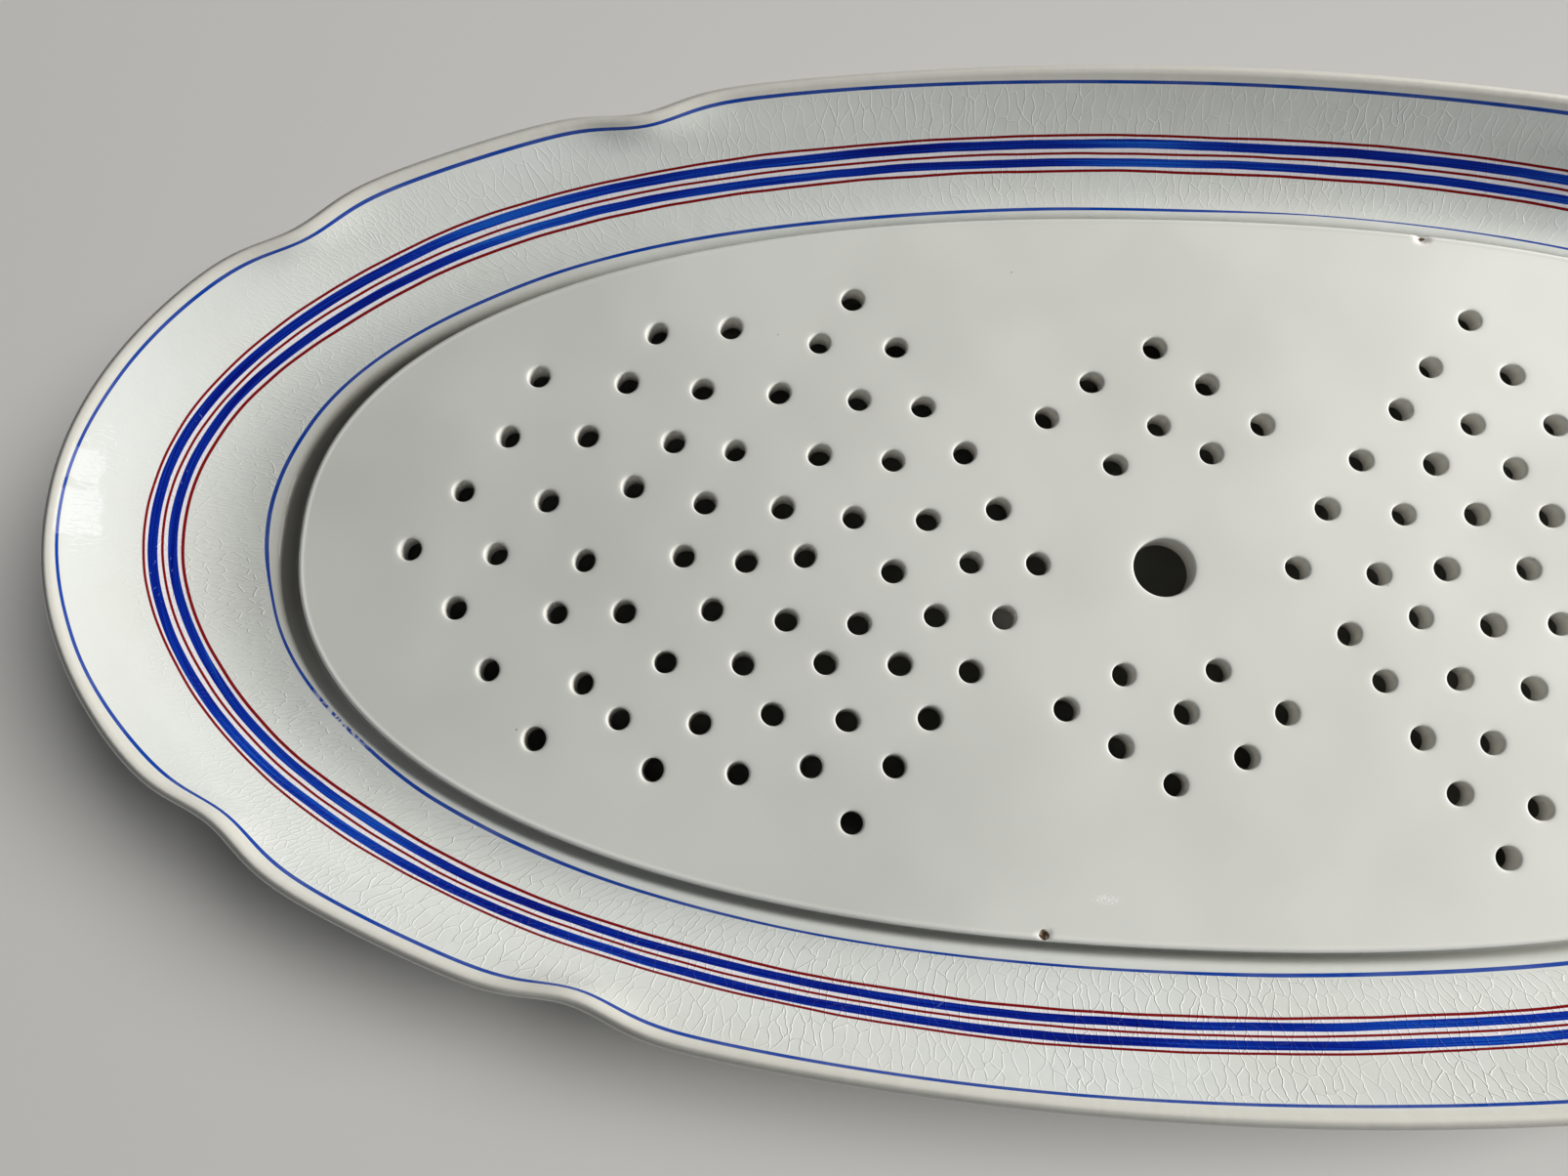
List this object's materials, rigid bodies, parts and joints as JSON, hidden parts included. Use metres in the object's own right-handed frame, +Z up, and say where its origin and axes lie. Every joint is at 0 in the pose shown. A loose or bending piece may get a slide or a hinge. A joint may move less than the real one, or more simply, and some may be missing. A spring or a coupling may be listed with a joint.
{
  "type": "fish platter",
  "caption": "Long oval glazed earthenware fish platter with a scalloped lip, striped wing and a loose pierced drainer plate that lifts out of its well.",
  "frame": {"origin": "middle of the platter, on the plane of its foot ring", "axes": "+X along the platter's length, +Y across its width, +Z up"},
  "size_m": [0.6052, 0.28, 0.061],
  "materials": {
    "platter_glaze": "glossy crackled cream glaze with painted blue and red stripes",
    "drainer_glaze": "glossy plain grey-white glaze"
  },
  "bodies": {
    "platter": {"platter": "platter_glaze"},
    "drainer": {"drainer": "drainer_glaze"}
  },
  "joints": [
    {"name": "drainer_lift", "type": "slide", "parent": "platter", "child": "drainer", "axis": [0, 0, 1], "range_m": [0, 0.12]}
  ]
}
